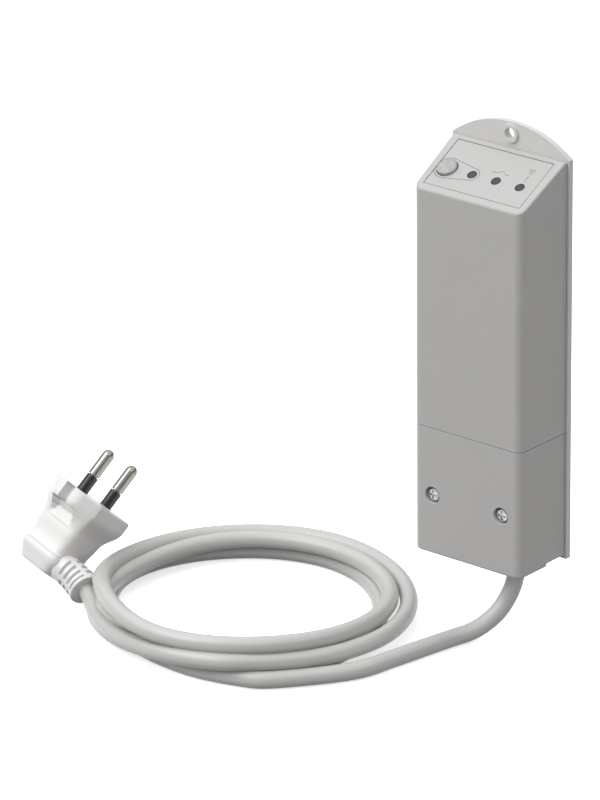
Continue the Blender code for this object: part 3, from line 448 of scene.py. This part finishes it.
def on_outside(place):
    """Whether a point is on the outer skin of the covers' front or sides."""
    across, out = abs(place.x) - CASE_HALF + CASE_CORNER, CASE_FRONT + CASE_CORNER - place.y
    if across > 0 and out > 0:
        return math.hypot(across, out) > CASE_CORNER - CORNER_SLACK
    return max(out, across) > CASE_CORNER - SKIN_SLACK


def on_slope_rim(place):
    """Whether a point is on the outer rim of the sloping panel."""
    return abs((place - SLOPE_FOOT).dot(SLOPE_OUT)) < RIM_SLACK and on_outside(place)


def on_foot_rim(place):
    """Whether a point is on the terminal cover's lower outer rim."""
    return abs(place.z - CASE_FOOT) < RIM_SLACK and on_outside(place)


def moulded_cover(name, node, body, radius, on_rim):
    """A cover with its mould's larger radius on one rim, in place of the plain one."""
    bm = bmesh.new()
    bm.from_mesh(nodes[node].data)
    bmesh.ops.remove_doubles(bm, verts=bm.verts, dist=WELD_GAP * MM)
    bmesh.ops.dissolve_limit(bm, angle_limit=FLAT_ANGLE, verts=bm.verts, edges=bm.edges)
    rim = [
        edge
        for edge in bm.edges
        if edge.calc_face_angle(0.0) > EDGE_ANGLE and all(on_rim(vertex.co / MM) for vertex in edge.verts)
    ]
    bmesh.ops.bevel(
        bm,
        geom=rim,
        offset=radius * MM,
        segments=RIM_SEGMENTS,
        profile=0.5,
        affect="EDGES",
        clamp_overlap=True,
    )
    mesh = bpy.data.meshes.new(name)
    bm.to_mesh(mesh)
    bm.free()
    mesh.materials.append(case_abs)
    piece = bpy.data.objects.new(name, mesh)
    collection.objects.link(piece)
    soften(piece, COVER_EDGE)
    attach(piece, body)
    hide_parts(node)


moulded_cover("front_moulding", "front_cover", "case", PANEL_RIM, on_slope_rim)
moulded_cover("terminal_moulding", "terminal_cover", "lower_cover", FOOT_RIM, on_foot_rim)
dress("blanking_plug", case_abs, BLANK_EDGE)
dress("back_plate", plate_abs, PLATE_EDGE)


# ---------------------------------------------------------------- cover screws
# Two cross-head screws hold the terminal cover: cold-headed steel, zinc plated, with a bluish
# satin look and fine marks all over.
DULLER_BY = 0.12
BRIGHTER_BY = 0.1
SCREW_EDGE = 0.12


def plated_metal(name, pale, deep, roughness, grain, relief):
    """Plated or turned metal with fine marks, whose size is given in millimetres."""
    material, tree, surface = new_material(name, roughness, metallic=1.0)
    place = add_node(tree, "ShaderNodeTexCoord").outputs["Object"]
    marks = add_node(
        tree,
        "ShaderNodeTexNoise",
        {"Vector": place, "Scale": 1 / (grain * MM), "Detail": 4, "Roughness": 0.7},
    )
    tint = add_node(
        tree,
        "ShaderNodeMix",
        {"Factor": marks.outputs["Fac"], 6: rgb(deep), 7: rgb(pale)},
        data_type="RGBA",
    )
    tree.links.new(tint.outputs[2], surface.inputs["Base Color"])
    gloss = add_node(
        tree,
        "ShaderNodeMapRange",
        {
            "Value": marks.outputs["Fac"],
            "To Min": roughness - BRIGHTER_BY,
            "To Max": roughness + DULLER_BY,
        },
    )
    tree.links.new(gloss.outputs["Result"], surface.inputs["Roughness"])
    bump = add_node(
        tree,
        "ShaderNodeBump",
        {"Height": marks.outputs["Fac"], "Strength": 0.5, "Distance": relief * MM},
    )
    tree.links.new(bump.outputs["Normal"], surface.inputs["Normal"])
    return material


# Clear-passivated zinc: bluish and half bright, blotched where the plating crystals differ.
zinc_steel = plated_metal("zinc_plated_steel", "#c9ccd0", "#9fa3a8", 0.34, 0.7, 0.01)
dress("cover_screw_left", zinc_steel, SCREW_EDGE)
dress("cover_screw_right", zinc_steel, SCREW_EDGE)


# ---------------------------------------------------------------- panel
# A die-cut polyester foil with a fine grained face, screen printed in grey, lies in the sloping
# recess. The button is silver-lacquered ABS and the three windows are smoked polycarbonate.
FOIL_FACE = -0.1
FOIL_EDGE = 0.06
BUTTON_EDGE = 0.1
WINDOW_EDGE = 0.12

# Grained polyester is satin, in the case's own grey. The button is dimpled under its lacquer, and
# the light and shade of its dimples are painted into its colour as pale and dark patches. Smoked
# polycarbonate is near black and glossy.
foil_polyester = moulded_plastic("grained_polyester_foil", "#b0afae", "#acabaa", 0.5, 0.8, 0.02, 1.57)
# The button's colour holds painted shade and painted highlight, as dark and pale patches for its dimples.
lacquer_with_painted_dimple_shade = moulded_plastic("lacquer_on_abs_with_painted_dimple_shade", "#c2c2c1", "#747473", 0.38, 1.1, 0.3, 1.5, 1.3)
smoked_polycarbonate = moulded_plastic("smoked_polycarbonate", "#242322", "#1b1a1a", 0.16, 1.5, 0.005, 1.58)
dress("panel_foil", foil_polyester, FOIL_EDGE)
dress("push_button", lacquer_with_painted_dimple_shade, BUTTON_EDGE)
for index in (1, 2, 3):
    dress(f"led_window_{index}", smoked_polycarbonate, WINDOW_EDGE)

INK_WIDTH = 0.24
INK_RISE = 0.06
INK_ROUNDNESS = 2
BUTTON_AT = (-17.3, 12.4)
LAMPS_AT = ((-5.9, 12.4), (5.0, 12.4), (15.9, 12.4))
# Screen ink is satin, dark grey and even, and stands a hair above the foil.
grey_ink = moulded_plastic("grey_screen_ink", "#3c3b3a", "#343332", 0.5, 1.0, 0.005)


def arc(centre, radius, start, end, steps=16):
    """Points on an arc on the panel, from one angle to the other, in degrees."""
    turns = [math.radians(start + (end - start) * i / steps) for i in range(steps + 1)]
    return [(centre[0] + radius * math.cos(t), centre[1] + radius * math.sin(t)) for t in turns]


def printed_line(name, places, closed=False):
    """A raised ink line on the foil, through places given as across and up the slope."""
    curve = bpy.data.curves.new(name, "CURVE")
    curve.dimensions = "3D"
    curve.bevel_depth = INK_WIDTH / 2 * MM
    curve.bevel_resolution = INK_ROUNDNESS
    curve.use_fill_caps = not closed
    spline = curve.splines.new("POLY")
    spline.points.add(len(places) - 1)
    spline.use_cyclic_u = closed
    for point, (across, up) in zip(spline.points, places):
        place = SLOPE_FOOT + SLOPE_UP * up + SLOPE_OUT * (FOIL_FACE + INK_RISE - INK_WIDTH / 2)
        point.co = (*((place + Vector((across, 0, 0))) * MM), 1)
    curve.materials.append(grey_ink)
    line = bpy.data.objects.new(name, curve)
    collection.objects.link(line)
    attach(line, "case")


# One outline goes round the button and its lamp. Its straight sides touch both round ends.
RING_RADII = (5.1, 2.9)
lean = math.degrees(math.acos((RING_RADII[0] - RING_RADII[1]) / (LAMPS_AT[0][0] - BUTTON_AT[0])))
outline = arc(BUTTON_AT, RING_RADII[0], lean, 360 - lean, 32)
outline += arc(LAMPS_AT[0], RING_RADII[1], -lean, lean, 16)
printed_line("button_outline", outline, closed=True)
# An open switch contact stands for the relay, and an aerial with three waves for the radio.
printed_line("contact_mark", [(0.5, 16.3), (2.7, 16.3), (5.7, 17.7)])
printed_line("contact_mark_end", [(6.1, 16.3), (8.3, 16.3)])
AERIAL_TIP = (15.9, 18.9)
WAVE_RADII = (1.0, 1.9, 2.8)
WAVE_SPAN = (55, 125)
WAVE_STEPS = 8
printed_line("aerial_mark", [(15.9, 15.6), (15.9, 18.6)])
for index, radius in enumerate(WAVE_RADII, 1):
    printed_line(f"wave_mark_{index}", arc(AERIAL_TIP, radius, *WAVE_SPAN, WAVE_STEPS))


# ---------------------------------------------------------------- plug
# A contour plug moulded round the lead's end in white PVC, with two nickel-plated brass pins
# whose roots wear black sleeves. The mould leaves it satin and slightly soft at the edges.
PLUG_FACE = Vector((-142.1, -76.6, -78.5))
PLUG_OUT = Vector((0.278, 0.621, 0.733)).normalized()  # the way in which the pins point
ROW_NEARLY = Vector((-0.066, 0.774, -0.630))
PLUG_ROW = (ROW_NEARLY - PLUG_OUT * ROW_NEARLY.dot(PLUG_OUT)).normalized()  # from pin to pin
PLUG_SIDE = PLUG_ROW.cross(PLUG_OUT)
PLUG_DEPTH = 33.6
PLUG_ROWS = 84
PLUG_SIDES = 120
FACE_RADIUS = 18.0
FACE_FLAT = 13.0
FACE_BREAK = 0.5  # the face's rim is drawn in by this, over FACE_BREAK_DEPTH
FACE_BREAK_DEPTH = 0.8
FACET_ACROSS = 0.64  # the flat facet between a ribbed end and a side, by its normal
FACET_ALONG = 0.768
FACET_REACH = 17.0
FLANGE_TO_GRIP = (4.5, 14.6)
# The grip's half width, its waist, its swell at the foot, and what its end tapers by.
GRIP_SIDE = (10.4, 0.7, 0.6, 2.4)
GRIP_ROW = (10.6, 0.8, 0.6, 2.2)
GRIP_SQUARENESS = 6
WAIST = (14.0, 22.0)
SWELL = (24.0, 26.4)
TAPER_FROM = 27.0
GRIP_LINE = 25.6
GRIP_LINE_HALF = 0.3
GRIP_LINE_DEPTH = 0.5
# Two ribs stand across each end of the flange, with a groove between and a scoop behind them.
RIB_OUTER = 5.6
RIB_INNER = 1.7
RIB_END = 7.2
RIB_ROUND = (5.6, 0.4)
GROOVE_FROM = 0.3
GROOVE_DEPTH = 3.8
SCOOP_END = 13.6
END_SHARE = 0.6  # a point is on a ribbed end where its direction leans this far along the row
END_ROUND = 1.2
PLUG_SHARP = math.radians(38)
PIN_EDGE = 0.2
SLEEVE_EDGE = 0.08


def ease(value, start, end):
    """0 before start, 1 after end, and a smooth rise between them."""
    t = min(1.0, max(0.0, (value - start) / (end - start)))
    return t * t * (3 - 2 * t)


def grip_half(sizes, depth):
    """Half the grip's width, that far behind the face."""
    half, waist, swell, taper = sizes
    narrow = half - waist * ease(depth, *WAIST) + swell * ease(depth, *SWELL)
    return narrow - taper * ease(depth, TAPER_FROM, PLUG_DEPTH)


def plug_reach(angle, depth):
    """How far the plug's skin is from its axis, that far behind the face."""
    across = abs(math.cos(angle))
    along = abs(math.sin(angle))
    flange = min(FACE_RADIUS, FACE_FLAT / max(across, 0.01))
    flange = min(flange, FACET_REACH / (across * FACET_ACROSS + along * FACET_ALONG))
    flange -= FACE_BREAK * (1 - ease(depth, 0.0, FACE_BREAK_DEPTH))
    side_share = (across / grip_half(GRIP_SIDE, depth)) ** GRIP_SQUARENESS
    row_share = (along / grip_half(GRIP_ROW, depth)) ** GRIP_SQUARENESS
    grip = (side_share + row_share) ** (-1 / GRIP_SQUARENESS)
    reach = flange + (grip - flange) * ease(depth, *FLANGE_TO_GRIP)
    offset = reach * across
    if along > END_SHARE:
        in_groove = offset < RIB_INNER or (offset < RIB_OUTER and depth > RIB_END)
        if in_groove and GROOVE_FROM < depth < SCOOP_END:
            reach -= min(GROOVE_DEPTH, reach - grip)
        elif offset < RIB_OUTER and depth <= RIB_END:
            reach = max(reach, FACE_RADIUS - RIB_ROUND[1] * ease(depth, RIB_ROUND[0], RIB_END))
    if abs(depth - GRIP_LINE) < GRIP_LINE_HALF:
        reach -= GRIP_LINE_DEPTH
    if depth > PLUG_DEPTH - END_ROUND:
        inward = depth - PLUG_DEPTH + END_ROUND
        reach -= END_ROUND - math.sqrt(max(0.0, END_ROUND**2 - inward**2))
    return reach


# Soft white PVC out of a smooth mould: satin like the jacket but paler, with flow marks too
# faint to see as marks.
plug_pvc = moulded_plastic("moulded_white_pvc", "#dedddc", "#d9d8d7", 0.36, 1.0, 0.015, 1.53)


def plug_piece(name, rings, stands_for):
    """A closed white piece over rings of points, with a flat cap at each end."""
    bm = bmesh.new()
    made = [[bm.verts.new(point * MM) for point in ring] for ring in rings]
    for ring, following in zip(made, made[1:]):
        for i in range(len(ring)):
            j = (i + 1) % len(ring)
            bm.faces.new((ring[i], ring[j], following[j], following[i]))
    bm.faces.new(list(reversed(made[0])))
    bm.faces.new(made[-1])
    bmesh.ops.recalc_face_normals(bm, faces=bm.faces)
    mesh = bpy.data.meshes.new(name)
    bm.to_mesh(mesh)
    bm.free()
    mesh.materials.append(plug_pvc)
    shade_smooth(mesh)
    mesh.set_sharp_from_angle(angle=PLUG_SHARP)
    piece = bpy.data.objects.new(name, mesh)
    collection.objects.link(piece)
    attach(piece, "case")
    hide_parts(stands_for)
    return piece


plug_rings = []
for row in range(PLUG_ROWS + 1):
    depth = PLUG_DEPTH * row / PLUG_ROWS
    ring = []
    for side in range(PLUG_SIDES):
        angle = 2 * math.pi * (side + 0.5) / PLUG_SIDES
        reach = plug_reach(angle, depth)
        ring.append(
            PLUG_FACE
            - PLUG_OUT * depth
            + PLUG_SIDE * reach * math.cos(angle)
            + PLUG_ROW * reach * math.sin(angle)
        )
    plug_rings.append(ring)
plug_moulding = plug_piece("plug_moulding", plug_rings, "plug_body")

# Polished nickel over brass mirrors the dark flags round the table. The nylon sleeves are jet
# black with a dull shine.
nickel_brass = plated_metal("nickel_plated_brass", "#a19f9b", "#7f7c77", 0.16, 0.8, 0.006)
sleeve_nylon = moulded_plastic("black_nylon", "#0a0a0a", "#060606", 0.3, 0.8, 0.01, 1.53)
for index in (1, 2):
    dress(f"plug_pin_{index}", nickel_brass, PIN_EDGE)
    dress(f"pin_sleeve_{index}", sleeve_nylon, SLEEVE_EDGE)


# ---------------------------------------------------------------- plug's strain relief
# A short fat boot moulded with the plug round the lead, cut with staggered slots in four rows,
# so that it gives a little as the lead bends.
BOOT_LENGTH = 15.5
BOOT_RADII = (5.6, 6.6)
BOOT_SIDES = 96
BOOT_STEP = 0.25
SLOT_PITCH = 3.1
SLOT_WIDTH = 1.25
SLOT_DEPTH = 1.5
SLOT_REACH = 0.40  # of a quarter turn, each way from the row's middle
SLOT_MARGINS = (3.4, 1.8)
MOUTH_ROUND = 1.0

boot_line = evenly(between(TAIL_ROUTE, LINE_STEPS), BOOT_STEP)
boot_line.reverse()
boot_line = boot_line[: int(BOOT_LENGTH / BOOT_STEP)]
boot_rings = []
for i, centre in enumerate(boot_line):
    along = boot_line[min(i + 1, len(boot_line) - 1)] - boot_line[max(i - 1, 0)]
    along.normalize()
    level = along.cross(Vector((0, 0, 1))).normalized()
    upright = level.cross(along)
    run = i * BOOT_STEP
    ring = []
    for side in range(BOOT_SIDES):
        angle = 2 * math.pi * side / BOOT_SIDES
        quarter = (angle / (math.pi / 2)) % 1.0 - 0.5
        row = int(angle / (math.pi / 2))
        reach = BOOT_RADII[0] + (BOOT_RADII[1] - BOOT_RADII[0]) * run / BOOT_LENGTH
        phase = (run - SLOT_MARGINS[0] + SLOT_PITCH / 2 * (row % 2)) % SLOT_PITCH
        inside = SLOT_MARGINS[0] < run < BOOT_LENGTH - SLOT_MARGINS[1]
        if inside and phase < SLOT_WIDTH and abs(quarter) < SLOT_REACH:
            reach -= SLOT_DEPTH
        rounding = MOUTH_ROUND - (BOOT_LENGTH - run)
        if rounding > 0:
            reach -= MOUTH_ROUND - math.sqrt(MOUTH_ROUND**2 - min(MOUTH_ROUND, rounding) ** 2)
        ring.append(centre + (level * math.cos(angle) + upright * math.sin(angle)) * reach)
    boot_rings.append(ring)
plug_boot = plug_piece("plug_boot", boot_rings, "plug_strain_relief")


# ---------------------------------------------------------------- lead entry inside the case
# A black rubber bushing lines the entry, and a moulded bar held by two screws clamps the jacket.
# Past it the two cores run in brown and blue PVC to the terminals.
BUSHING_EDGE = 0.2
CLAMP_EDGE = 0.3
CLAMP_SCREW_EDGE = 0.1

# Rubber is dull and near black. The cores' PVC is satin and strongly coloured.
black_rubber = moulded_plastic("moulded_black_rubber", "#232323", "#1a1a1a", 0.62, 0.8, 0.02, 1.52)
brown_pvc = moulded_plastic("extruded_brown_pvc", "#6b4227", "#5d3820", 0.4, 0.8, 0.01, 1.53)
blue_pvc = moulded_plastic("extruded_blue_pvc", "#2c62a8", "#255697", 0.4, 0.8, 0.01, 1.53)
dress("cable_bushing", black_rubber, BUSHING_EDGE)
dress("cable_clamp", plate_abs, CLAMP_EDGE)
dress("clamp_screw_1", zinc_steel, CLAMP_SCREW_EDGE)
dress("clamp_screw_2", zinc_steel, CLAMP_SCREW_EDGE)
for name, material in (("wire_live", brown_pvc), ("wire_neutral", blue_pvc)):
    repaint(name, material)
    shade_smooth(nodes[name].data)


# ---------------------------------------------------------------- boards and their parts
# Three glass-epoxy boards under green solder mask carry the works: a sealed transformer, a relay,
# a shielded radio with its whip, and two terminal blocks in green nylon.
LAMP_EDGE = 0.1

# Solder mask is a thin gloss coat, clouded over the copper. Cast epoxy and moulded nylon are
# satin, lacquer and sleeve are glossier, tin is grey and half bright, and enamelled copper is red.
board_mask = moulded_plastic("green_solder_mask", "#2f7a4a", "#27693f", 0.3, 1.2, 0.02, 1.55, 5.0)
epoxy_black = moulded_plastic("cast_black_epoxy", "#26262a", "#1e1e21", 0.5, 0.9, 0.02, 1.55)
relay_pbt = moulded_plastic("moulded_blue_pbt", "#2f6fb5", "#2864a5", 0.38, 0.9, 0.01, 1.57)
terminal_nylon = moulded_plastic("moulded_green_nylon", "#3d9a5b", "#358a50", 0.42, 0.9, 0.02, 1.53)
socket_nylon = moulded_plastic("moulded_white_nylon", "#e4e2da", "#dcdad2", 0.45, 0.9, 0.02, 1.53)
tinned_steel = plated_metal("tinned_sheet_steel", "#cfd0d1", "#b3b5b7", 0.32, 1.0, 0.01)
water_clear = moulded_plastic("cast_clear_epoxy", "#dfe4e2", "#d5dad8", 0.12, 1.5, 0.004, 1.54)
ribbon_pvc = moulded_plastic("grey_ribbon_pvc", "#a9aaab", "#9c9d9e", 0.45, 0.9, 0.01, 1.53)
can_sleeve = moulded_plastic("shrunk_pvc_sleeve", "#2b3140", "#242a38", 0.35, 1.0, 0.01, 1.53)
disc_lacquer = moulded_plastic("dipped_blue_lacquer", "#3a6ea0", "#326293", 0.3, 1.0, 0.02, 1.55)
whip_copper = plated_metal("enamelled_copper", "#c27a4c", "#a9653b", 0.3, 0.8, 0.005)
for name, material, radius in (
    ("display_board", board_mask, 0.1),
    ("main_board", board_mask, 0.1),
    ("mains_transformer", epoxy_black, 0.5),
    ("relay", relay_pbt, 0.4),
    ("controller_chip", epoxy_black, 0.1),
    ("radio_board", board_mask, 0.08),
    ("radio_shield", tinned_steel, 0.2),
    ("fuse", epoxy_black, 0.3),
    ("smoothing_capacitor", can_sleeve, 0.5),
    ("varistor", disc_lacquer, 0.8),
    ("mains_terminal", terminal_nylon, 0.2),
    ("relay_terminal", terminal_nylon, 0.2),
    ("ribbon_socket", socket_nylon, 0.2),
    ("display_ribbon", ribbon_pvc, 0.1),
    ("button_switch", epoxy_black, 0.2),
    ("switch_plunger", socket_nylon, 0.15),
):
    dress(name, material, radius)
for index in (1, 2, 3):
    dress(f"led_{index}", water_clear, LAMP_EDGE)
for name, count, radius in (
    ("display_screw", 2, 0.08),
    ("board_screw", 4, 0.1),
    ("mains_terminal_screw", 2, 0.08),
    ("relay_terminal_screw", 3, 0.08),
):
    for index in range(1, count + 1):
        dress(f"{name}_{index}", zinc_steel, radius)
repaint("radio_antenna", whip_copper)
